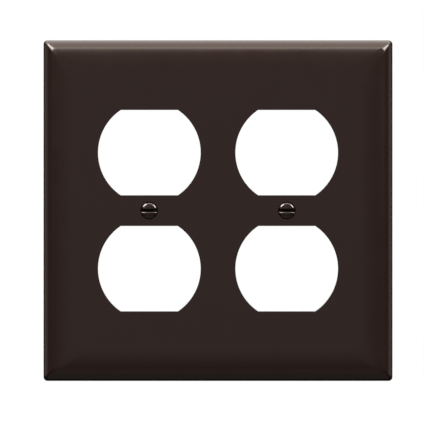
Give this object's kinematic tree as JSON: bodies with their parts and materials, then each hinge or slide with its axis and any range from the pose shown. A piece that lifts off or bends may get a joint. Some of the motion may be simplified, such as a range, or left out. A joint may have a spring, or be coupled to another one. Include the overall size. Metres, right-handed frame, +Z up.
{
  "type": "two-gang duplex receptacle wall plate",
  "caption": "Nearly square glossy brown wall plate with a crowned edge, openings for duplex receptacles and slotted oval-head fixing screws.",
  "frame": {"origin": "on the wall's surface, behind the middle of the plate", "axes": "+X to the right as seen from the front, +Y into the wall, +Z up the wall; the plate's face looks along -Y"},
  "size_m": [0.1172, 0.0134, 0.1142],
  "materials": {
    "brown_plastic": "moulded gloss",
    "brown_screw": "gloss paint on a plated steel screw"
  },
  "bodies": {
    "plate": {"wall_plate": "brown_plastic"},
    "left_screw": {"left_screw": "brown_screw"},
    "right_screw": {"right_screw": "brown_screw"}
  },
  "joints": [
    {"name": "left_screw_turn", "type": "hinge", "parent": "plate", "child": "left_screw", "pos_m": [-0.02302, 0, 0], "axis": [0, 1, 0], "continuous": true},
    {"name": "right_screw_turn", "type": "hinge", "parent": "plate", "child": "right_screw", "pos_m": [0.02302, 0, 0], "axis": [0, 1, 0], "continuous": true}
  ]
}
